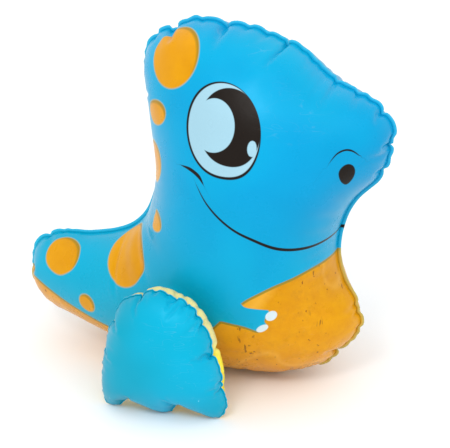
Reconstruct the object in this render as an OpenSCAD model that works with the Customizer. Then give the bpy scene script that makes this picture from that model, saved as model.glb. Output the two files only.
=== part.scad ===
// Inflatable vinyl toy dinosaur, standing on its belly seam and two side legs.
// Nose along +X, up along +Z, mirror plane Y = 0, floor at Z = 0.
// Each chamber is two films welded together round a flat flange.

/* [Film] */
// Thickness of the vinyl film
film_t = 0.3; // [0.2:0.05:0.6]
// Width of the flat welded flange round the body
flange_w = 3.5; // [2:0.5:6]

/* [Body] */
// Half thickness of the body chamber at its fattest place
body_half_t = 96; // [80:1:100]
// Points along each stretch between two ribs of the body
body_steps = 3; // [2:1:4]
// Rings from the body's seam to its crest
body_rings = 7; // [5:1:9]

/* [Legs] */
// Half thickness of a leg chamber
leg_half_t = 30; // [24:1:30]
// Distance from the mirror plane to a leg's seam
leg_y = 120; // [120:0.5:130]
// Points along each stretch between two ribs of a leg
leg_steps = 3; // [2:1:4]
// Rings from a leg's seam to its crest
leg_rings = 5; // [4:1:7]
// Width of the flat welded flange round a leg
leg_flange_w = 1.5; // [1:0.5:2.5]
// Outer radius of the welded ring between a leg and the body
ring_r = 10; // [8:0.5:12]
// Radius of the air port through the ring
port_r = 5; // [3:0.5:6]

/* [Valve] */
// Radius of the valve's welding flange
valve_flange_r = 14; // [12:0.5:16]
// Outer radius of the valve's stem
stem_r = 5; // [4.5:0.1:5.5]
// Radius of the air way through the stem
stem_bore_r = 3.1; // [2.5:0.1:3.4]
// Length of the stem
stem_len = 15; // [12:0.5:18]
// Length of the plug's shank
shank_len = 6; // [4:0.5:7]
// Clearance between sliding valve parts
valve_gap = 0.1; // [0.05:0.05:0.1]

/* [Hidden] */
$fn = 48;

skin_blue = [0.0, 0.65, 0.88];
belly_orange = [0.95, 0.62, 0.15];
clear_vinyl = [0.88, 0.91, 0.92];

// Ribs of the body from tail to head.  Each rib gives its end on the back seam,
// its end on the belly seam, its crest in plan and its share of body_half_t.
body_ribs = [
    [[ -158, 120], [-166,   40], [-157,  83], 0.37],
    [[ -119, 125], [-132, 30.5], [-124,  79], 0.52],
    [[  -81, 136], [ -93, 19.5], [ -82,  81], 0.69],
    [[  -59, 154], [ -54, 10.5], [ -45,  92], 0.84],
    [[  -48, 176], [  -9,    5], [ -10, 100], 0.92],
    [[  -44, 192], [  41,  3.7], [  15, 110], 0.96],
    [[  -42, 202], [  91,    7], [  35, 118], 0.98],
    [[-41.5, 212], [ 128,   18], [  48, 128], 0.99],
    [[  -42, 221], [ 151,   41], [  55, 140], 1.00],
    [[  -43, 230], [ 165,   66], [  58, 152], 1.00],
    [[  -44, 239], [ 162,   90], [  58, 166], 1.00],
    [[  -46, 250], [ 150,  114], [  57, 182], 0.99],
    [[  -48, 264], [ 143,  146], [  56, 204], 0.97],
    [[-50.5, 282], [ 153,  188], [  58, 231], 0.94],
    [[  -53, 308], [ 181,  226], [  64, 252], 0.90],
    [[  -46, 335], [ 191,  258], [  70, 270], 0.85],
    [[  -20, 351], [ 186,  279], [  76, 286], 0.80]
];
// Seam round the top of the head, from its back to the nose
head_seam = [[11, 358.5], [51, 353.5], [91, 342], [129, 317], [167, 295]];
// Seam round the tip of the tail, from below to above
tail_seam = [[-185, 56], [-190.5, 80], [-181, 106]];

// Ribs of a leg from its foot to its knee, as above with shares of leg_half_t
leg_ribs = [
    [[  -53, 34], [67, 30], [6, 38], 0.85],
    [[-51.5, 60], [63, 54], [4, 58], 0.97],
    [[-44.5, 88], [54, 87], [2, 80], 1.00]
];
// Seam round the top of the leg, and round the foot with its three toes
knee_seam = [[-29, 110.5], [-7, 123.5], [18, 124], [39, 112]];
foot_seam = [
    [67, 13], [58, 2.2], [45, 4.5], [34, 9.5], [24, 11], [10, 2.2], [-4, 4.2],
    [-15, 8], [-28, 9], [-44, 1.8], [-53, 11]
];

// Where a leg is welded to the body, and how the films slope there
weld_x = 9;
weld_y = 89.7;
weld_z = 90;
weld_tilt_x = 5.7;
weld_tilt_z = 5;
ring_t = 0.8;

// Length of the cutters that open the air ways, and how far a cutter passes a face
port_cut = 16;
cut_past = 1;

// Valve place on the left side of the tail
valve_x = -84;
valve_z = 82;
valve_y = 65.5;
valve_turn = 21;
flange_plate_t = 0.9;
collar_r = 7;
collar_h = 0.6;
rim_r = 6.2;
rim_t = 0.8;
plug_head_r = 5.6;
plug_head_t = 1.6;
flap_r = 4.4;
flap_t = 0.5;
tether_w = 4;
tether_t = 0.6;
tether_gap = 0.5;
tether_reach = 6;
tether_lift = 0.3;

function lerp(a, b, f) = a + (b - a) * f;
function unit(v) = v / norm(v);
function wrap(i, n) = (i % n + n) % n;

// Smooth curve through p1 and p2, with neighbours p0 and p3
function spline(p0, p1, p2, p3, f) =
    0.5 * (2 * p1 + (p2 - p0) * f + (2 * p0 - 5 * p1 + 4 * p2 - p3) * f * f
        + (3 * p1 - p0 - 3 * p2 + p3) * f * f * f);
function closed_curve(pts, steps) = [
    for (i = [0:len(pts) - 1], s = [0:steps - 1])
        spline(pts[wrap(i - 1, len(pts))], pts[i], pts[wrap(i + 1, len(pts))],
            pts[wrap(i + 2, len(pts))], s / steps)
];
function open_curve(pts, steps) = [
    for (i = [0:(len(pts) - 1) * steps])
        let (last = len(pts) - 1, a = min(floor(i / steps), last - 1))
        spline(pts[max(a - 1, 0)], pts[a], pts[a + 1], pts[min(a + 2, last)], i / steps - a)
];
function reversed(v) = [for (i = [len(v) - 1:-1:0]) v[i]];

// Seam loop: up the back ribs, over the end, down the belly ribs, round the start
function seam_loop(ribs, end_seam, start_seam) = concat(
    [for (r = ribs) r[0]], end_seam, [for (r = reversed(ribs)) r[1]], start_seam);
function outward(loop, i) =
    let (d = loop[wrap(i + 1, len(loop))] - loop[wrap(i - 1, len(loop))]) unit([-d[1], d[0]]);

// One film of a chamber: a dome from the seam to the crest, and the flange round it.
// side is -1 for a film on the -Y side of its seam plane and 1 for one on the +Y side.
module film(ribs, end_seam, start_seam, half_t, steps, rings, flange, side) {
    seam = closed_curve(seam_loop(ribs, end_seam, start_seam), steps);
    crest = open_curve([for (r = ribs) [r[2][0], r[2][1], r[3] * half_t]], steps);
    n = len(seam);
    m = len(crest);
    head_n = (len(end_seam) + 1) * steps;
    // Crest point that seam point i runs up to
    foot = [for (i = [0:n - 1])
        i < m ? i : i < m - 1 + head_n ? m - 1 : max(2 * (m - 1) + head_n - i, 0)];
    flat = function(p) [p[0], p[1]];
    at = function(p, y) [p[0], side * y, p[1]];
    dome = function(inset, base) [for (k = [0:rings - 1], i = [0:n - 1])
        let (c = crest[foot[i]], a = 90 * k / rings,
            s = seam[i] + unit(flat(c) - seam[i]) * inset)
        at(lerp(s, flat(c), 1 - cos(a)), base + (c[2] - film_t) * sin(a))];
    rim = [for (y = [0, film_t], i = [0:n - 1]) at(seam[i] + outward(seam, i) * flange, y)];
    outer = dome(0, film_t);
    inner = dome(film_t, 0);
    points = concat(rim, outer, inner,
        [for (c = crest) at(c, c[2])], [for (c = crest) at(c, c[2] - film_t)]);
    outer_at = 2 * n;
    inner_at = outer_at + rings * n;
    outer_crest = inner_at + rings * n;
    inner_crest = outer_crest + m;
    quads = function(lo, hi) [for (i = [0:n - 1], h = [0, 1]) let (j = wrap(i + 1, n))
        h == 0 ? [lo + i, lo + j, hi + j] : [lo + i, hi + j, hi + i]];
    cap = function(lo, top) [for (i = [0:n - 1], h = [0, 1])
        let (j = wrap(i + 1, n), a = foot[i], b = foot[j])
        if (h == 0 || a != b)
        h == 0 ? [lo + i, lo + j, top + b] : [lo + i, top + b, top + a]];
    skin = concat(quads(0, n), quads(n, outer_at),
        [for (k = [0:rings - 2]) each quads(outer_at + k * n, outer_at + (k + 1) * n)],
        cap(outer_at + (rings - 1) * n, outer_crest));
    lining = concat(quads(0, inner_at),
        [for (k = [0:rings - 2]) each quads(inner_at + k * n, inner_at + (k + 1) * n)],
        cap(inner_at + (rings - 1) * n, inner_crest));
    faces = concat(skin, [for (f = lining) reversed(f)]);
    polyhedron(points, side < 0 ? faces : [for (f = faces) reversed(f)]);
}

module body_film(side) {
    film(body_ribs, head_seam, tail_seam, body_half_t, body_steps, body_rings, flange_w, side);
}

module leg_film(side) {
    film(leg_ribs, knee_seam, foot_seam, leg_half_t, leg_steps, leg_rings, leg_flange_w, side);
}

module at_valve() {
    translate([valve_x, valve_y, valve_z]) rotate([0, 0, valve_turn]) rotate([-90, 0, 0]) children();
}

// Frame of the weld between a leg and the body, with +Z across the films
module at_weld(side) {
    translate([weld_x, side * weld_y, weld_z])
        rotate([-side * weld_tilt_x, 0, side * weld_tilt_z]) rotate([90, 0, 0]) children();
}

module air_port(side) {
    at_weld(side) translate([0, 0, -port_cut / 2]) cylinder(r = port_r, h = port_cut);
}

module body_panel_right() {
    color(skin_blue) difference() {
        body_film(-1);
        air_port(-1);
    }
}

module body_panel_left() {
    color(skin_blue) difference() {
        body_film(1);
        air_port(1);
        at_valve() translate([0, 0, -port_cut / 2]) cylinder(r = collar_r, h = port_cut);
    }
}

// side is the leg's side, and outer tells its outer film from its inner one
module leg_panel(side, outer) {
    difference() {
        translate([0, side * leg_y, 0]) leg_film(outer ? side : -side);
        if (!outer) air_port(side);
    }
}

module leg_right_outer_panel() {
    color(skin_blue) leg_panel(-1, true);
}

module leg_right_inner_panel() {
    color(belly_orange) leg_panel(-1, false);
}

module leg_left_outer_panel() {
    color(skin_blue) leg_panel(1, true);
}

module leg_left_inner_panel() {
    color(belly_orange) leg_panel(1, false);
}

module port_ring(side) {
    at_weld(side) translate([0, 0, -ring_t / 2]) difference() {
        cylinder(r = ring_r, h = ring_t);
        translate([0, 0, -cut_past]) cylinder(r = port_r, h = ring_t + 2 * cut_past);
    }
}

module leg_right_port_ring() {
    color(clear_vinyl) port_ring(-1);
}

module leg_left_port_ring() {
    color(clear_vinyl) port_ring(1);
}

module valve_flange() {
    color(clear_vinyl) at_valve() difference() {
        translate([0, 0, -film_t - flange_plate_t]) union() {
            cylinder(r = valve_flange_r, h = flange_plate_t);
            cylinder(r = collar_r, h = film_t + flange_plate_t + collar_h);
        }
        translate([0, 0, -port_cut / 2]) cylinder(r = stem_r + valve_gap, h = port_cut);
    }
}

module valve_stem() {
    color(clear_vinyl) at_valve() difference() {
        union() {
            translate([0, 0, collar_h - stem_len]) cylinder(r = stem_r, h = stem_len);
            translate([0, 0, collar_h - stem_len]) cylinder(r = rim_r, h = rim_t);
        }
        translate([0, 0, collar_h - stem_len - cut_past])
            cylinder(r = stem_bore_r, h = stem_len + 2 * cut_past);
    }
}

module valve_flap() {
    color(clear_vinyl) at_valve()
        translate([0, 0, collar_h - stem_len - flap_t - valve_gap]) cylinder(r = flap_r, h = flap_t);
}

module valve_plug() {
    color(clear_vinyl) at_valve() {
        translate([0, 0, collar_h - shank_len]) cylinder(r = stem_bore_r - valve_gap, h = shank_len);
        translate([0, 0, collar_h]) cylinder(r = plug_head_r, h = plug_head_t);
    }
}

// Strap folded back on itself, from the collar out along the film and back to the plug's head
module valve_tether() {
    fold_r = tether_gap / 2 + tether_t;
    color(clear_vinyl) at_valve() translate([0, tether_w / 2, tether_lift]) rotate([90, 0, 0])
        linear_extrude(tether_w) {
            translate([collar_r, 0]) square([tether_reach, tether_t]);
            translate([plug_head_r, tether_gap + tether_t])
                square([tether_reach + collar_r - plug_head_r, tether_t]);
            translate([collar_r + tether_reach, fold_r]) difference() {
                circle(r = fold_r);
                circle(r = tether_gap / 2);
                translate([-2 * fold_r, -2 * fold_r]) square([2 * fold_r, 4 * fold_r]);
            }
        }
}

body_panel_right();
body_panel_left();
leg_right_outer_panel();
leg_right_inner_panel();
leg_right_port_ring();
leg_left_outer_panel();
leg_left_inner_panel();
leg_left_port_ring();
valve_flange();
valve_stem();
valve_flap();
valve_plug();
valve_tether();
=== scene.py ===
"""An inflatable vinyl toy dinosaur.

Each chamber is two flat films welded together round their edge.  The films are cut to a flat
pattern, blown up by cloth simulation, and printed by distances measured on the flat film.
"""

import math

import bpy
import numpy as np
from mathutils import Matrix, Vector, geometry
from mathutils.kdtree import KDTree


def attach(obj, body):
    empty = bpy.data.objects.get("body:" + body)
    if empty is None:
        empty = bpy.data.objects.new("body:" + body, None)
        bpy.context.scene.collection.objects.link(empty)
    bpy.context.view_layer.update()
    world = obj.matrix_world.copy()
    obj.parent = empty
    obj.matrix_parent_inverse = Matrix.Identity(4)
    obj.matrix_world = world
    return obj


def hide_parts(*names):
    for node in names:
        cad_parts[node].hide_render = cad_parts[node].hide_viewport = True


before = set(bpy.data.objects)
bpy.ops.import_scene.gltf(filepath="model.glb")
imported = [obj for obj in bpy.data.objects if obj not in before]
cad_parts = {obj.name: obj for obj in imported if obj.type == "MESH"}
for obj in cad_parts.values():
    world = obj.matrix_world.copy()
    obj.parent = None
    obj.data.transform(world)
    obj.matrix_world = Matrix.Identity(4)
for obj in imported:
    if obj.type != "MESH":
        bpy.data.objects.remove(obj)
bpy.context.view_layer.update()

MM = 0.001
FILM = 0.3                  # thickness of the vinyl film, mm
BODY_FLANGE = 3.5           # width of the welded flange round the body, mm
LEG_FLANGE = 1.5            # width of the flange round a leg, mm
LEG_Y = 120                 # from the mirror plane to a leg's seam, mm
LEG_THICKNESS = 0.83        # share of its free thickness that a leg keeps against the body
WELD = (9, 89.7, 90)        # middle of the weld between the body and the left leg, mm
WELD_TILT = (5.7, 5)        # how the films slope there, about X and about Z, degrees
WELD_GAP = 0.8              # between the leg's film and the body's film at the weld, mm
WELD_FLAT = 11              # radius that the weld holds flat on each film, mm
VALVE = (-84, 65.5, 82)     # middle of the valve, on the left film's outer face, mm
VALVE_TURN = 21             # how far the valve's axis turns from +Y towards -X, degrees
VALVE_HOLE = 6.6            # radius of the hole in the film, inside the valve's collar, mm
VALVE_FLAT = 15             # radius that the valve's flange holds flat on the film, mm
KNEE = (6, 58)              # middle of a leg in its own plane, X and Z in mm
INNER_BULGE = 4.6           # how far a leg's inner film swells past its seam, mm
FOOT_TWIST = 0.09           # turn of the foot about Z, as a slope

# The welded seam of the inflated body in the mirror plane, X and Z in mm
BODY_SEAM = [
    (-158, 120), (-119, 125), (-81, 136), (-59, 154), (-48, 176), (-42, 205), (-44, 238),
    (-49, 270), (-53, 308), (-46, 335), (-20, 351),
    (11, 358.5), (51, 353.5), (91, 342), (129, 317), (167, 295),
    (186, 279), (191, 258), (181, 226), (153, 188), (143, 146), (150, 114), (162, 90),
    (165, 66), (151, 41), (128, 18), (91, 7), (41, 3.7), (-9, 5), (-54, 10.5), (-93, 19.5),
    (-132, 30.5), (-166, 40),
    (-185, 56), (-190.5, 80), (-181, 106),
]
# The seam of a leg in its own plane, with three toes along the foot
LEG_SEAM = [
    (-53, 34), (-51.5, 60), (-44.5, 88), (-29, 110.5), (-7, 123.5), (18, 124), (39, 112),
    (54, 87), (63, 54), (67, 30),
    (67, 13), (58, 2.2), (45, 4.5), (34, 9.5), (24, 11), (10, 2.2), (-4, 4.2), (-15, 8),
    (-28, 9), (-44, 1.8), (-53, 11),
]


# ---------------------------------------------------------------- outlines

def spline(points, closed, steps=24):
    """Points along a Catmull-Rom curve through the given ones."""
    p = np.array(points, float)
    n = len(p)
    spans = n if closed else n - 1
    t = np.linspace(0, 1, steps, endpoint=False)[:, None]
    line = []
    for i in range(spans):
        if closed:
            a, b, c, d = p[i - 1], p[i], p[(i + 1) % n], p[(i + 2) % n]
        else:
            a, b, c, d = p[max(i - 1, 0)], p[i], p[i + 1], p[min(i + 2, n - 1)]
        line.append(0.5 * (2 * b + (c - a) * t + (2 * a - 5 * b + 4 * c - d) * t ** 2
                           + (3 * b - a - 3 * c + d) * t ** 3))
    if not closed:
        line.append(p[-1:])
    return np.vstack(line)


def closed_loop(points, step):
    """The closed curve through the points, spaced evenly, and where each point lies on it."""
    steps = 24
    fine = spline(points, True, steps)
    lengths = np.linalg.norm(np.roll(fine, -1, 0) - fine, axis=1)
    along = np.concatenate([[0], np.cumsum(lengths)])
    count = int(round(along[-1] / step))
    at = np.arange(count) * along[-1] / count
    ring = np.vstack([fine, fine[:1]])
    loop = np.stack([np.interp(at, along, ring[:, k]) for k in (0, 1)], 1)
    places = along[:-1:steps] / along[-1] * count
    return loop, places


def inside(loop, points):
    x, y = points[:, 0], points[:, 1]
    odd = np.zeros(len(points), bool)
    for (x1, y1), (x2, y2) in zip(loop, np.roll(loop, -1, 0)):
        if y1 != y2:
            crosses = (y1 > y) != (y2 > y)
            odd ^= crosses & (x < (x2 - x1) * (y - y1) / (y2 - y1) + x1)
    return odd


def distance(line, points, closed=True):
    """Distance to a line, its sign (left of the line is positive) and how far along it."""
    ends = np.roll(line, -1, 0) if closed else line[1:]
    starts = line if closed else line[:-1]
    best = np.full(len(points), 1e9)
    sign = np.ones(len(points))
    along = np.zeros(len(points))
    for i, (a, b) in enumerate(zip(starts, ends)):
        d = b - a
        r = points - a
        t = np.clip(r @ d / max(d @ d, 1e-12), 0, 1)
        gap = np.linalg.norm(r - t[:, None] * d, axis=1)
        nearer = gap < best
        best[nearer] = gap[nearer]
        cross = d[0] * r[:, 1] - d[1] * r[:, 0]
        sign[nearer] = np.where(cross[nearer] < 0, -1, 1)
        along[nearer] = (i + t[nearer]) / len(starts)
    return best, sign, along


# ---------------------------------------------------------------- films

FRAMES = 45                 # of simulation, enough for the film to come to rest
PRESSURE = 30.0             # of the air, in the cloth solver's units
FIT_ROUNDS = 2              # of fitting the flat pattern to the wanted seam


class Chamber:
    """Two films on one flat pattern: flat points, triangles, and each film's inflated points.

    The first `edge` points lie on the seam, in order, and both films share them.
    """

    def __init__(self, flat, tris, edge):
        self.flat = flat
        self.tris = tris
        self.rim = np.arange(edge)
        self.right = None
        self.left = None


def cut_film(outline, step):
    """Triangulate the flat pattern with points in even rows."""
    loop, places = closed_loop(outline, step)
    low, high = loop.min(0), loop.max(0)
    rows = np.arange(low[1], high[1], step * math.sqrt(3) / 2)
    points = np.array([(x + step / 2 * (i % 2), y)
                       for i, y in enumerate(rows) for x in np.arange(low[0], high[0], step)])
    points = points[inside(loop, points)]
    points = points[distance(loop, points)[0] > 0.62 * step]    # no slivers at the seam
    n = len(loop)
    edges = [(i, (i + 1) % n) for i in range(n)]
    found = geometry.delaunay_2d_cdt(
        [Vector(p) for p in np.vstack([loop, points])], edges, [], 1, 1e-7)
    flat = np.array([tuple(p) for p in found[0]])
    tris = np.array([list(f) for f in found[2]])
    a, b, c = (flat[tris[:, k]] for k in range(3))
    turned = (b - a)[:, 0] * (c - a)[:, 1] < (b - a)[:, 1] * (c - a)[:, 0]
    tris[turned] = tris[turned, ::-1]
    return Chamber(flat, tris, n), places


def blow_up(chamber, stiffness):
    """Blow the chamber up with Blender's cloth, both films sharing the seam."""
    size = 10 * MM                    # the simulation works at ten times life size
    flat, tris, n = chamber.flat, chamber.tris, len(chamber.rim)
    depth = distance(flat[:n], flat)[0]
    depth[:n] = 0
    puff = 0.03 * np.sqrt(depth * (2 * depth.max() - depth))
    right = np.stack([flat[:, 0], -puff, flat[:, 1]], 1)
    left = np.stack([flat[:, 0], puff, flat[:, 1]], 1)[n:]
    back = np.concatenate([np.arange(n), len(flat) + np.arange(len(flat) - n)])
    mesh = bpy.data.meshes.new("chamber")
    mesh.from_pydata((np.vstack([right, left]) * size).tolist(), [],
                     np.vstack([tris, back[tris][:, ::-1]]).tolist())
    ob = bpy.data.objects.new("chamber", mesh)
    bpy.context.scene.collection.objects.link(ob)
    cloth = ob.modifiers.new("cloth", "CLOTH")
    s = cloth.settings
    s.quality = 5
    s.mass = 0.05
    s.air_damping = 2
    s.tension_stiffness = s.compression_stiffness = s.shear_stiffness = stiffness
    s.tension_damping = s.compression_damping = s.shear_damping = 5
    s.bending_stiffness = 0.05
    s.bending_damping = 0.5
    s.use_pressure = True
    s.uniform_pressure_force = PRESSURE
    s.effector_weights.gravity = 0
    cloth.collision_settings.use_collision = False
    cloth.collision_settings.use_self_collision = False
    cloth.point_cache.frame_start = 1
    cloth.point_cache.frame_end = FRAMES
    scene = bpy.context.scene
    scene.frame_start, scene.frame_end = 1, FRAMES
    for f in range(1, FRAMES + 1):
        scene.frame_set(f)
    result = ob.evaluated_get(bpy.context.evaluated_depsgraph_get())
    co = np.empty(3 * len(mesh.vertices), np.float32)
    result.data.vertices.foreach_get("co", co)
    co = co.reshape(-1, 3) / size
    bpy.data.objects.remove(ob)
    bpy.data.meshes.remove(mesh)
    scene.frame_set(1)
    chamber.right = co[:len(flat)].astype(float)
    chamber.left = co[back].astype(float)


def seam_error(chamber, places, seam):
    """How far the inflated seam lies from the wanted one, at each of the seam's points."""
    edge = chamber.right[chamber.rim][:, [0, 2]]
    smooth = sum(np.roll(edge, k, 0) for k in (-2, -1, 0, 1, 2)) / 5
    low = np.floor(places).astype(int)
    part = (places - low)[:, None]
    there = smooth[low % len(edge)] * (1 - part) + smooth[(low + 1) % len(edge)] * part
    return np.array(seam, float) - there


def fit_pattern(seam, step, stiffness, swell):
    """The flat pattern whose inflated seam is the wanted one, `swell` times its size at first."""
    seam = np.array(seam, float)
    middle = seam.mean(0)
    pattern = middle + (seam - middle) * swell
    for _ in range(FIT_ROUNDS):
        chamber, places = cut_film(pattern, step)
        blow_up(chamber, stiffness)
        pattern = pattern + 0.8 * seam_error(chamber, places, seam)
    return pattern


def settle(chamber, places, seam, reach=45.0):
    """Move the inflated films smoothly, so that the seam runs through the wanted points."""
    for _ in range(2):
        error = seam_error(chamber, places, seam)
        for film in (chamber.right, chamber.left):
            gap = np.linalg.norm(film[:, None, [0, 2]] - np.array(seam)[None], axis=2)
            weight = np.exp(-(gap / reach) ** 2) + 1e-9
            film[:, [0, 2]] += (weight @ error) / weight.sum(1)[:, None]


def subdivide(tris, rim, *fields):
    """Loop subdivision.  The first field is the shape and is smoothed; the rest are halved."""
    shape = fields[0]
    count = len(shape)
    edges = np.sort(tris[:, [0, 1, 1, 2, 2, 0]].reshape(-1, 2), axis=1)
    keys, first, which, uses = np.unique(
        edges[:, 0] * count + edges[:, 1], return_index=True, return_inverse=True,
        return_counts=True)
    which = which.reshape(-1, 3)
    ends = edges[first]
    middles = [0.5 * (f[ends[:, 0]] + f[ends[:, 1]]) for f in fields]
    apex = np.zeros((len(keys), shape.shape[1]))
    for k, far in ((0, 2), (1, 0), (2, 1)):
        np.add.at(apex, which[:, k], shape[tris[:, far]])
    inner = uses == 2
    middles[0][inner] = 0.75 * middles[0][inner] + 0.125 * apex[inner]
    total = np.zeros_like(shape)
    near = np.zeros(count)
    for a, b in ((0, 1), (1, 0)):
        np.add.at(total, ends[:, a], shape[ends[:, b]])
        np.add.at(near, ends[:, a], 1)
    share = np.where(near > 3, 3 / (8 * np.maximum(near, 1)), 3 / 16)[:, None]
    moved = shape * (1 - near[:, None] * share) + total * share
    before, after = shape[np.roll(rim, 1)], shape[np.roll(rim, -1)]
    moved[rim] = 0.75 * shape[rim] + 0.125 * (before + after)
    m = which + count
    finer = np.vstack([
        np.stack([tris[:, 0], m[:, 0], m[:, 2]], 1), np.stack([tris[:, 1], m[:, 1], m[:, 0]], 1),
        np.stack([tris[:, 2], m[:, 2], m[:, 1]], 1), m])
    nxt = np.roll(rim, -1)
    side = np.searchsorted(keys, np.minimum(rim, nxt) * count + np.maximum(rim, nxt)) + count
    new_rim = np.stack([rim, side], 1).ravel()
    joined = [np.vstack([moved, middles[0]])]
    joined += [np.vstack([f, m2]) for f, m2 in zip(fields[1:], middles[1:])]
    return finer, new_rim, joined


def outward(loop, spread):
    """Unit vectors out of a closed loop in its plane, smoothed over a few points each way."""
    ahead = sum(np.roll(loop, -k, 0) - np.roll(loop, k, 0) for k in range(1, spread + 1))
    normal = np.stack([-ahead[:, 1], ahead[:, 0]], 1)
    normal /= np.linalg.norm(normal, axis=1)[:, None]
    x, y = loop.T
    area = np.sum(x * np.roll(y, -1) - np.roll(x, -1) * y)
    return normal if area < 0 else -normal


def flanged_film(chamber, side, flange):
    """One film with its flange: points in mm, triangles, flat points, and mm past the weld."""
    shape = chamber.right if side < 0 else chamber.left
    tris, rim, (shape, flat) = subdivide(chamber.tris, chamber.rim, shape, chamber.flat)
    shape = shape + np.array([0, side * FILM, 0])
    past = -distance(flat[rim], flat)[0]
    past[rim] = 0
    spread = 4
    out = outward(shape[rim][:, [0, 2]], spread)
    out_flat = outward(flat[rim], spread)
    rows = [rim]
    n = len(rim)
    for part in (0.5, 1.0):
        move = np.zeros((n, 3))
        move[:, [0, 2]] = out * flange * part
        rows.append(len(shape) + np.arange(n))
        shape = np.vstack([shape, shape[rim] + move])
        flat = np.vstack([flat, flat[rim] + out_flat * flange * part])
        past = np.append(past, np.full(n, flange * part))
    x, y = flat[rim].T
    area = np.sum(x * np.roll(y, -1) - np.roll(x, -1) * y)
    for inner, outer in zip(rows[:-1], rows[1:]):
        a, b, c, d = inner, np.roll(inner, -1), np.roll(outer, -1), outer
        strip = np.vstack([np.stack([a, b, c], 1), np.stack([a, c, d], 1)])
        tris = np.vstack([tris, strip[:, ::-1] if area > 0 else strip])
    if side > 0:
        tris = tris[:, ::-1]
    return shape, tris, flat, past, rim


def film_piece(name, shape, tris, rim, fields, material):
    """A Blender object of one film, 0.3 mm thick, with its fields as attributes."""
    mesh = bpy.data.meshes.new(name)
    mesh.from_pydata((shape * MM).tolist(), [], tris.tolist())
    for key, values in fields.items():
        mesh.attributes.new(key, "FLOAT", "POINT").data.foreach_set("value", values)
    mesh.polygons.foreach_set("use_smooth", [True] * len(mesh.polygons))
    on_rim = np.zeros(len(shape), bool)
    on_rim[rim] = True
    ends = np.empty(2 * len(mesh.edges), np.int32)
    mesh.edges.foreach_get("vertices", ends)
    sharp = on_rim[ends.reshape(-1, 2)].all(1)
    mesh.attributes.new("sharp_edge", "BOOLEAN", "EDGE").data.foreach_set("value", sharp)
    mesh.materials.append(material)
    ob = bpy.data.objects.new(name, mesh)
    bpy.context.scene.collection.objects.link(ob)
    shell = ob.modifiers.new("film", "SOLIDIFY")
    shell.thickness = FILM * MM
    shell.offset = -1
    solid = bpy.data.meshes.new_from_object(
        ob.evaluated_get(bpy.context.evaluated_depsgraph_get()))
    ob.modifiers.clear()
    ob.data = solid
    bpy.data.meshes.remove(mesh)
    solid.name = name
    return ob


# ---------------------------------------------------------------- fitting

def fade(x):
    """A smooth step from 0 at x = 0 to 1 at x = 1."""
    x = np.clip(x, 0, 1)
    return x * x * (3 - 2 * x)


def axis_frame(side, tilt_x, tilt_z):
    """Unit vector square to a film on the given side, turned about X and then about Z."""
    a, b = math.radians(tilt_x), math.radians(tilt_z)
    return np.array([-math.sin(b) * math.cos(a) * side, math.cos(b) * math.cos(a) * side,
                     -math.sin(a)])


def seat(shape, centre, normal, flat_to, soft_to):
    """Press the film flat on a plane round its centre, and ease it back further out."""
    r = shape - centre
    height = r @ normal
    away = np.linalg.norm(r - height[:, None] * normal, axis=1)
    hold = 1 - fade((away - flat_to) / (soft_to - flat_to))
    shape -= (height * hold)[:, None] * normal


def above_floor(shape):
    """Ease whatever would sink into the floor up onto it."""
    low = 2.5                         # mm; the easing starts here
    z = shape[:, 2]
    shape[:, 2] = np.where(z < low, low * np.exp(0.8 * (z - low) / low), z)


def cut_hole(shape, tris, centre, normal, radius):
    """Open a round hole in the film, with its edge on the circle."""
    r = shape - centre
    height = r @ normal
    flat = r - height[:, None] * normal
    away = np.linalg.norm(flat, axis=1)
    near = (away < 0.72 * radius) & (np.abs(height) < radius)
    gone = near[tris].any(1)
    edge = np.setdiff1d(np.unique(tris[gone]), np.where(near)[0])
    ring = flat[edge] / away[edge][:, None] * radius
    shape[edge] = centre + ring + height[edge][:, None] * normal
    return tris[~gone]


def clear_of(shape, other, gap):
    """Keep a leg's inner film outside the body's film, by at least the gap."""
    side = np.sign(other[:, 1].sum())
    tree = KDTree(len(other))
    for i, p in enumerate(other):
        tree.insert((p[0], 0, p[2]), i)
    tree.balance()
    for p in shape:
        near = [other[i] for _, i, d in tree.find_n((p[0], 0, p[2]), 3) if d < 4]
        if near:
            least = max(side * q[1] for q in near) + gap
            if side * p[1] < least:
                p[1] = side * least


# ---------------------------------------------------------------- print

def ellipse(flat, centre, half_length, half_width, tilt):
    """Distance inside an ellipse on the flat film: zero on it and negative outside."""
    a = math.radians(tilt)
    x, y = (flat - centre).T
    p = np.stack([(x * math.cos(a) + y * math.sin(a)) / half_length,
                  (y * math.cos(a) - x * math.sin(a)) / half_width], 1)
    r = np.linalg.norm(p, axis=1) + 1e-6
    slope = np.linalg.norm(p / (half_length, half_width), axis=1) / r + 1e-6
    return (1 - r) / slope


def patch(flat, outline):
    """Distance inside a closed outline on the flat film."""
    gap = distance(outline, flat)[0]
    return np.where(inside(outline, flat), gap, -gap)


def stroke(flat, points, halves):
    """Distance beside a drawn line, and the line's half width at the nearest place on it."""
    gap, sign, along = distance(spline(points, False, 8), flat, closed=False)
    return gap * sign, np.interp(along, np.linspace(0, 1, len(halves)), halves)


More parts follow.
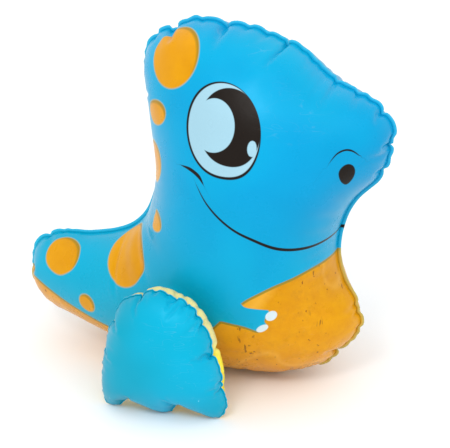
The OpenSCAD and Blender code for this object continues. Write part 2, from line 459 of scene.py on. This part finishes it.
# Where things are printed, in mm on the flat film: right and up as on the toy
EYE_RIM = ((53.5, 274), 44, 33, 102)
EYE_WHITE = ((54, 274.5), 42, 31.5, 100.5)
IRIS = ((59.5, 277), 35.5, 27, 100)
SHINE = ((46, 277.5), 24.5, 18, 94.5)
GLINT = ((79.5, 258.5), 7, 4, 84.5)
CLAWS = [((92.5, 98.5), 6, 5, 45), ((84, 85), 6, 3.6, 33)]
ROUND_SPOTS = [
    ((-3.5, 338.5), 32.5, 26, 106), ((-22.5, 284.5), 16.5, 12, -3),
    ((-105.5, 60.5), 11, 9, 12), ((-39.5, 235), 21.5, 21.5, 0),
]
SPOTS = [
    [(-28, 187.5), (-33, 173), (-28, 167), (-19.5, 166.5), (-13.5, 170), (-13, 176.5), (-18, 183.5)],
    [(-83, 161), (-65, 157), (-46, 146), (-35, 131), (-35, 117), (-41.5, 105.5), (-53, 98),
     (-66, 96), (-80, 99.5), (-92, 108), (-100, 121), (-103, 134.5), (-99, 151)],
    [(-168, 108), (-157, 111.5), (-146, 110), (-138, 105.5), (-132, 95), (-134, 83.5), (-146.5, 72.5),
     (-159.5, 71), (-171, 75), (-177, 84), (-177, 98)],
]
SPOT_EDGE = (-2.2, -3.2)    # how far a spot's bright part lies from its dark edge, mm
NOSTRIL = [(156.5, 240), (159, 246), (164.5, 249), (170, 247), (173, 241),
           (172, 233), (167, 227), (160, 231.5)]
BROW = [(147.5, 251), (153.5, 258.5), (161, 262), (168, 261), (175, 256.5)]
CHEEK = [(15.5, 238.5), (26, 236), (35.5, 230.5), (41, 223)]
MOUTH = [(33.5, 222.5), (44, 206), (59.5, 189), (79.5, 178.5), (102, 168.5),
         (129, 163), (159, 161), (180, 161), (193, 161)]
# Half widths of the drawn lines, in mm from end to end
BROW_HALVES = (0.2, 0.8, 0.9, 0.3)
CHEEK_HALVES = (0.2, 1.6, 1.7, 0.2)
MOUTH_HALVES = (0.2, 0.7, 1.0, 1.3, 1.5, 1.5, 1.2, 0.9, 2.4)
# The belly's print, in stretches that meet at corners: throat to armpit, top of the arm, the
# gap between the claws, under the arm, its root, under the tail, and round outside the film
BELLY = [
    [(193, 139), (160, 138), (131.5, 137), (99, 131.5), (75, 121), (65, 114)],
    [(65, 114), (69, 110), (76.5, 108), (92, 105)],
    [(88, 100), (86, 92.5), (89, 89)],
    [(79, 82), (68, 88), (57, 91.5), (47.5, 94.5)],
    [(47.5, 94.5), (40, 86)],
    [(40, 86), (10, 64), (-30, 49), (-81, 45), (-128, 46.5), (-170, 51.5), (-188, 54.5),
     (-198, 58.5), (-214, 59)],
    [(-240, 30), (-200, -60), (200, -60), (250, 60), (240, 139)],
]
BELLY_EDGE = (0.4, -2.8)    # how far the belly's bright part lies from its dark edge, mm


def print_fields(flat):
    """The printed shapes as distances at each point of the film."""
    belly = np.vstack([spline(stretch, False, 6) for stretch in BELLY])
    spots = [spline(s, True, 6) for s in SPOTS]

    def spotted(shift):
        return np.max([ellipse(flat - shift, *s) for s in ROUND_SPOTS]
                      + [patch(flat - shift, s) for s in spots], axis=0)

    fields = {
        "eye_rim": ellipse(flat, *EYE_RIM), "eye_white": ellipse(flat, *EYE_WHITE),
        "iris": ellipse(flat, *IRIS),
        "shine": np.maximum(ellipse(flat, *SHINE), ellipse(flat, *GLINT)),
        "claws": np.max([ellipse(flat, *c) for c in CLAWS], axis=0),
        "spots": spotted(np.zeros(2)), "spot_fill": spotted(np.array(SPOT_EDGE)),
        "belly": patch(flat, belly), "belly_fill": patch(flat - BELLY_EDGE, belly),
        "nostril": patch(flat, spline(NOSTRIL, True, 6)),
    }
    for name, points, halves in (("brow", BROW, BROW_HALVES), ("cheek", CHEEK, CHEEK_HALVES),
                                 ("mouth", MOUTH, MOUTH_HALVES)):
        fields[name], fields[name + "_half"] = stroke(flat, points, halves)
    return fields


# ---------------------------------------------------------------- materials

def rgb(red, green, blue):
    """Linear colour from the usual 0 to 255 values."""
    part = [c / 255 for c in (red, green, blue)]
    return tuple(c / 12.92 if c <= 0.04045 else ((c + 0.055) / 1.055) ** 2.4
                 for c in part) + (1.0,)


class Paint:
    """One procedural material, built up in layers on a Principled shader."""

    def __init__(self, name):
        self.material = bpy.data.materials.new(name)
        self.material.use_nodes = True
        self.tree = self.material.node_tree
        self.shader = self.tree.nodes["Principled BSDF"]
        self.place = self.tree.nodes.new("ShaderNodeTexCoord").outputs["Object"]

    def node(self, kind, values, **settings):
        n = self.tree.nodes.new(kind)
        for key, value in settings.items():
            setattr(n, key, value)
        for key, value in values.items():
            if isinstance(value, bpy.types.NodeSocket):
                self.tree.links.new(value, n.inputs[key])
            else:
                n.inputs[key].default_value = value
        return n

    def math(self, operation, a, b=0.0):
        return self.node("ShaderNodeMath", {0: a, 1: b}, operation=operation).outputs[0]

    def field(self, name):
        return self.node("ShaderNodeAttribute", {}, attribute_name=name).outputs["Fac"]

    def noise(self, scale, detail=2.0, rough=0.5, stretch=None, warp=0.0):
        place = self.place
        if stretch:
            place = self.node("ShaderNodeMapping", {0: place, 3: stretch}).outputs[0]
        return self.node("ShaderNodeTexNoise", {"Vector": place, "Scale": scale, "Detail": detail,
                                                "Roughness": rough, "Distortion": warp}
                         ).outputs["Fac"]

    def ramp(self, value, low, high, start=0.0, end=1.0):
        """Maps low..high to start..end and holds it there outside."""
        return self.node("ShaderNodeMapRange", {0: value, 1: low, 2: high, 3: start, 4: end}
                         ).outputs[0]

    def inside(self, name, soft=0.35):
        return self.ramp(self.field(name), -soft, soft)

    def line(self, name):
        beside = self.math("ABSOLUTE", self.field(name))
        return self.ramp(self.math("SUBTRACT", self.field(name + "_half"), beside), -0.3, 0.3)

    def over(self, base, colour, mask):
        return self.node("ShaderNodeMix", {0: mask, 6: base, 7: colour}, data_type="RGBA"
                         ).outputs[2]

    def streaks(self, scale, stretch, width, where):
        """Thin wandering lines, in the places where the second noise is high."""
        ridge = self.math("ABSOLUTE", self.math(
            "SUBTRACT", self.noise(scale, 1.0, stretch=stretch, warp=1.2), 0.5))
        return self.math("MULTIPLY", self.ramp(ridge, 0, width, 1, 0),
                         self.ramp(self.noise(where, 1.0), 0.56, 0.66))

    def finish(self, colour, rough_low, rough_high, bump_mm):
        """Uneven tone, rubbed gloss, fine scratches and the soft unevenness of thin film."""
        tone = self.ramp(self.noise(9, 3.0), 0.3, 0.7, 0.93, 1.06)
        colour = self.node("ShaderNodeHueSaturation", {"Color": colour, "Value": tone}).outputs[0]
        scratches = self.streaks(30, (1, 1, 4), 0.008, 8)
        colour = self.over(colour, WHITE, self.math("MULTIPLY", scratches, 0.04))
        rubbed = self.ramp(self.noise(28, 4.0, 0.6), 0.35, 0.7, rough_low, rough_high)
        rough = self.math("ADD", rubbed, self.math("MULTIPLY", scratches, 0.2))
        height = self.math("ADD", self.noise(60, 3.0),
                           self.math("MULTIPLY", self.noise(700, 2.0), 0.08))
        bump = self.node("ShaderNodeBump", {"Strength": 0.5, "Distance": bump_mm * MM,
                                            "Height": height}).outputs[0]
        # straight on, the gloss takes most of its tint from the ink; at the edges it is white
        tint = self.over(colour, WHITE, 0.18)
        for key, value in (("Base Color", colour), ("Specular Tint", tint),
                           ("Roughness", rough), ("Normal", bump)):
            self.tree.links.new(value, self.shader.inputs[key])
        self.shader.inputs["IOR"].default_value = 1.5
        self.shader.inputs["Specular IOR Level"].default_value = 0.5
        return self.material


SKY = rgb(0, 147, 198)
PALE_SKY = rgb(0, 167, 206)
SEA = rgb(0, 106, 132)
# pale flange tint, partly the flange's translucent haze and partly painted light
HAZE_AND_SHEEN = rgb(60, 184, 218)
# darker blue standing in for the painted shade low on the body and towards the tail
SHADED_LAGOON = rgb(0, 158, 192)
TEAL = rgb(0, 153, 181)
ORANGE = rgb(214, 150, 0)
AMBER = rgb(200, 134, 0)
OLIVE = rgb(150, 126, 40)
HONEY = rgb(228, 162, 24)
# colour of the painted highlight along the belly's creases
STRAW_HIGHLIGHT = rgb(240, 190, 92)
RUST = rgb(196, 124, 8)
UMBER = rgb(160, 122, 16)
GRIME = rgb(176, 116, 30)
PEN = rgb(110, 62, 22)
SPECK = rgb(120, 56, 20)
SPOT_RIM = rgb(150, 160, 142)
LEAF = rgb(178, 172, 96)
INK = rgb(26, 20, 16)
ICE = rgb(150, 190, 206)
BONE = rgb(200, 216, 222)
CREAM = rgb(214, 206, 140)
LEMON = rgb(236, 222, 60)
LILAC = rgb(190, 180, 190)
FLECK = rgb(150, 225, 240)
WHITE = rgb(255, 255, 255)


def blue_vinyl(p, low, high, edge):
    """Blue ink with cloudy tone, a thin dark line along the weld and a paler flange: partly its
    translucent haze, partly painted light in place of the shade where the flange meets the film.
    """
    base = p.over(low, high, p.ramp(p.noise(7, 2.0), 0.42, 0.72, 0, 0.9))
    past = p.field("past")
    # paler flange: partly translucent haze, partly painted light lifting the shade where it meets the
    # film
    base = p.over(base, HAZE_AND_SHEEN, p.ramp(past, 0.4, 2.4, 0, 0.6))
    return p.over(base, SEA, p.ramp(p.math("ABSOLUTE", past), 0.1, 0.6, edge, 0))


def specks(p, scale, limit):
    return p.ramp(p.noise(scale, 2.0, 0.6), limit, limit + 0.03)


def orange_ink(p):
    base = p.over(ORANGE, AMBER, p.ramp(p.noise(16, 4.0, 0.6), 0.4, 0.7))
    return p.over(base, HONEY, p.ramp(p.noise(6, 1.0), 0.5, 0.75, 0, 0.7))


def grubby_belly(p, orange):
    """The orange ink with painted highlights along creases, dull smears, pen-like hatching and brown
    specks.
    """
    wander = p.math("SUBTRACT", p.noise(7, 1.0, warp=0.8), 0.5)
    # painted highlight: pale streaks along wandering creases
    crease_highlight = p.math("MULTIPLY", p.ramp(p.math("ABSOLUTE", wander), 0, 0.03, 0.5, 0), p.noise(20))
    grain = p.ramp(p.noise(70, 5.0, 0.75), 0.42, 0.66, 0, 0.45)
    base = p.over(p.over(orange, RUST, grain), STRAW_HIGHLIGHT, crease_highlight)
    dirty = p.ramp(p.noise(15, 2.0), 0.46, 0.6)
    smear = p.ramp(p.noise(90, 5.0, 0.75), 0.5, 0.75, 0, 0.5)
    base = p.over(base, GRIME, p.math("MULTIPLY", dirty, smear))
    hatch = p.ramp(p.noise(300, 1.0, stretch=(1, 1, 0.22)), 0.62, 0.66)
    patchy = p.ramp(p.noise(24, 2.0), 0.57, 0.62)
    base = p.over(base, PEN, p.math("MULTIPLY", p.math("MULTIPLY", hatch, patchy), 0.75))
    return p.over(base, SPECK, p.math("MULTIPLY", dirty, specks(p, 150, 0.69)))


def printed_vinyl():
    """The body's film: blue, then the belly, the spots, the claws and the face on top."""
    p = Paint("printed_vinyl")
    across, _, up = p.node("ShaderNodeSeparateXYZ", {0: p.place}).outputs
    # painted light and shade: the blue darkens towards the bottom and the tail and brightens towards
    # the top and the head
    painted_light_to_head = p.ramp(p.math("ADD", p.math("MULTIPLY", across, 0.7), up), 0.05, 0.3)
    base = blue_vinyl(p, p.over(SHADED_LAGOON, SKY, painted_light_to_head), PALE_SKY, 0.3)
    orange = orange_ink(p)
    past = p.field("past")
    belly = p.over(OLIVE, grubby_belly(p, orange), p.inside("belly_fill"))
    belly = p.over(belly, LEAF, p.ramp(past, 0.5, 2.0, 0, 0.75))
    belly = p.over(belly, OLIVE, p.ramp(p.math("ABSOLUTE", past), 0.3, 0.9, 0.8, 0))
    base = p.over(base, belly, p.inside("belly"))
    spots = p.over(UMBER, orange, p.inside("spot_fill", 1.1))
    base = p.over(base, spots, p.inside("spots"))
    rim = p.ramp(p.math("ABSOLUTE", p.field("spots")), 0.3, 0.9, 0.8, 0)
    base = p.over(base, SPOT_RIM, rim)
    base = p.over(base, BONE, p.inside("claws"))
    base = p.over(base, INK, p.inside("eye_rim"))
    base = p.over(base, ICE, p.inside("eye_white"))
    base = p.over(base, INK, p.math("MULTIPLY", p.inside("iris"), p.inside("eye_rim")))
    base = p.over(base, ICE, p.math("MULTIPLY", p.inside("shine"), p.inside("eye_white")))
    for name in ("mouth", "brow", "cheek"):
        base = p.over(base, INK, p.line(name))
    base = p.over(base, INK, p.inside("nostril"))
    return p.finish(base, 0.24, 0.38, 0.5)


def plain_blue_vinyl():
    p = Paint("blue_vinyl")
    base = blue_vinyl(p, TEAL, PALE_SKY, 0.7)
    base = p.over(base, FLECK, p.math("MULTIPLY", specks(p, 130, 0.74), 0.6))
    return p.finish(base, 0.30, 0.44, 0.5)


def yellow_vinyl():
    p = Paint("yellow_vinyl")
    height = p.node("ShaderNodeSeparateXYZ", {0: p.place}).outputs[2]
    height = p.math("ADD", height, p.ramp(p.noise(20, 2.0), 0.3, 0.7, -0.02, 0.02))
    # painted light: lemon low down where light shines through the film, cream higher up in the shade
    # of the body
    base = p.over(CREAM, LEMON, p.ramp(height, 0.055, 0.085, 1, 0))
    base = p.over(base, LILAC, p.ramp(p.field("past"), -0.3, 0.5, 0, 0.8))
    return p.finish(base, 0.32, 0.46, 0.5)


def clear_vinyl():
    p = Paint("clear_vinyl")
    base = p.over(rgb(206, 218, 222), rgb(232, 238, 236), p.ramp(p.noise(160, 3.0), 0.35, 0.65))
    p.shader.inputs["Transmission Weight"].default_value = 0.35
    return p.finish(base, 0.22, 0.36, 0.12)


# ---------------------------------------------------------------- build

BODY_COARSE = 9.0           # mm between points while the body's pattern is fitted
BODY_STEP = 5.0
LEG_COARSE = 5.0
LEG_STEP = 3.0
STIFFNESS = 5.0             # of the film, for each mm between points


def make_chamber(seam, fit_step, step, swell):
    pattern = fit_pattern(seam, fit_step, STIFFNESS * fit_step, swell)
    chamber, places = cut_film(pattern, step)
    blow_up(chamber, STIFFNESS * step)
    settle(chamber, places, seam)
    return chamber


def add_film(name, film, fields, material, body_name, node):
    shape, tris, flat, past, rim = film
    fields = {"past": past, **fields}
    piece = film_piece(name, shape, tris, rim, fields, material)
    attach(piece, body_name)
    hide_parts(node)


def bulge(shape, past):
    """Swell a leg's inner film out past the seam, most of all above the knee."""
    depth = np.clip(-past / 26, 0, 1)
    away = shape[:, [0, 2]] - KNEE
    away /= np.linalg.norm(away, axis=1)[:, None] + 1e-9
    rise = INNER_BULGE * np.sin(np.pi * depth) * fade((shape[:, 2] - 10) / 60)
    rise *= np.clip(0.5 + 0.5 * away @ (0.8, 0.6), 0, 1)
    shape[:, [0, 2]] += away * rise[:, None]


def add_body_film(side, word, weld, across):
    """One body film, seated at the leg's weld, and on the left round the valve."""
    shape, tris, flat, past, rim = flanged_film(body, side, BODY_FLANGE)
    above_floor(shape)
    seat(shape, weld - WELD_GAP / 2 * across, across, flat_to=WELD_FLAT, soft_to=30)
    fields = print_fields(flat)
    if side > 0:
        turn = math.radians(VALVE_TURN)
        outwards = np.array([-math.sin(turn), math.cos(turn), 0])
        seat(shape, np.array(VALVE), outwards, flat_to=VALVE_FLAT, soft_to=36)
        tris = cut_hole(shape, tris, np.array(VALVE), outwards, VALVE_HOLE)
    add_film(f"body_film_{word}", (shape, tris, flat, past, rim), fields, printed, "torso",
             f"body_panel_{word}")
    return shape


def add_leg_film(side, word, kind, weld, across, torso_film):
    """A leg's outer or inner film, the inner one seated at the weld and clear of the body."""
    outer = kind == "outer"
    shape, tris, flat, past, rim = flanged_film(leg, side if outer else -side, LEG_FLANGE)
    shape[:, 1] *= LEG_THICKNESS
    shape[:, 1] += side * LEG_Y
    # the foot is twisted a little, heel outwards and toes inwards
    shape[:, 1] += side * FOOT_TWIST * (4 - shape[:, 0]) * fade((75 - shape[:, 2]) / 60)
    if not outer:
        seat(shape, weld + WELD_GAP / 2 * across, across, flat_to=WELD_FLAT, soft_to=34)
        bulge(shape, past)
        clear_of(shape, torso_film, gap=0.6)
    above_floor(shape)
    add_film(f"leg_{word}_{kind}_film", (shape, tris, flat, past, rim), {},
             blue if outer else yellow, f"leg_{word}", f"leg_{word}_{kind}_panel")


body = make_chamber(BODY_SEAM, BODY_COARSE, BODY_STEP, 1.12)
leg = make_chamber(LEG_SEAM, LEG_COARSE, LEG_STEP, 1.2)
printed, blue, yellow, clear = printed_vinyl(), plain_blue_vinyl(), yellow_vinyl(), clear_vinyl()

for side, word in ((-1, "right"), (1, "left")):
    weld = np.array(WELD) * (1, side, 1)
    across = axis_frame(side, *WELD_TILT)
    torso_film = add_body_film(side, word, weld, across)
    for kind in ("outer", "inner"):
        add_leg_film(side, word, kind, weld, across, torso_film)

for name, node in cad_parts.items():
    if name.startswith("valve_") or name.endswith("_port_ring"):
        if not node.material_slots:
            node.data.materials.append(clear)
        for place in node.material_slots:
            place.material = clear


# ---------------------------------------------------------------- camera, floor and light

AZIMUTH, ELEVATION = 20, 21         # of the camera, degrees
DISTANCE = 1.35                     # from the camera to what it aims at, m
TARGET = Vector((0.026, 0, 0.1535))
MIDDLE = Vector((0, 0, 0.15))       # what the lamp aims at
FLOOR_HALF = 4                      # half the floor's width, m


def place_camera():
    azimuth, elevation = math.radians(AZIMUTH), math.radians(ELEVATION)
    away = Vector((math.sin(azimuth) * math.cos(elevation),
                   -math.cos(azimuth) * math.cos(elevation), math.sin(elevation)))
    camera = bpy.data.objects.new("camera", bpy.data.cameras.new("camera"))
    camera.data.lens = 108
    camera.data.clip_start = 0.05
    camera.location = TARGET + away * DISTANCE
    camera.rotation_euler = (-away).to_track_quat("-Z", "Y").to_euler()
    bpy.context.scene.collection.objects.link(camera)
    bpy.context.scene.camera = camera


def lay_floor():
    paint = Paint("pale_floor")
    tone = paint.over(rgb(249, 249, 249), rgb(253, 253, 252), paint.noise(3))
    paint.tree.links.new(tone, paint.shader.inputs["Base Color"])
    paint.shader.inputs["Roughness"].default_value = 0.7
    mesh = bpy.data.meshes.new("floor")
    corners = [(x * FLOOR_HALF, y * FLOOR_HALF, 0) for x, y in ((-1, -1), (1, -1), (1, 1), (-1, 1))]
    mesh.from_pydata(corners, [], [(0, 1, 2, 3)])
    mesh.materials.append(paint.material)
    floor = bpy.data.objects.new("floor", mesh)
    bpy.context.scene.collection.objects.link(floor)


def light_studio():
    """A white room, one small soft lamp in front and a broad soft light from the right."""
    world = bpy.data.worlds.new("studio")
    world.use_nodes = True
    world.node_tree.nodes["Background"].inputs["Color"].default_value = (1, 1, 1, 1)
    world.node_tree.nodes["Background"].inputs["Strength"].default_value = 1.04
    bpy.context.scene.world = world
    bpy.context.scene.view_settings.view_transform = "Standard"
    key = bpy.data.lights.new("key", "AREA")
    key.size = 0.36
    key.energy = 4.8
    key_lamp = bpy.data.objects.new("key", key)
    key_lamp.location = (0.03, -1.10, 1.09)
    aim = MIDDLE - key_lamp.location
    key_lamp.rotation_euler = aim.to_track_quat("-Z", "Y").to_euler()
    front = bpy.data.lights.new("front", "SUN")
    front.energy = 0.45
    front.angle = math.radians(50)
    front_lamp = bpy.data.objects.new("front", front)
    front_lamp.rotation_euler = (math.radians(48), 0, math.radians(38))
    for lamp in (key_lamp, front_lamp):
        bpy.context.scene.collection.objects.link(lamp)


place_camera()
lay_floor()
light_studio()
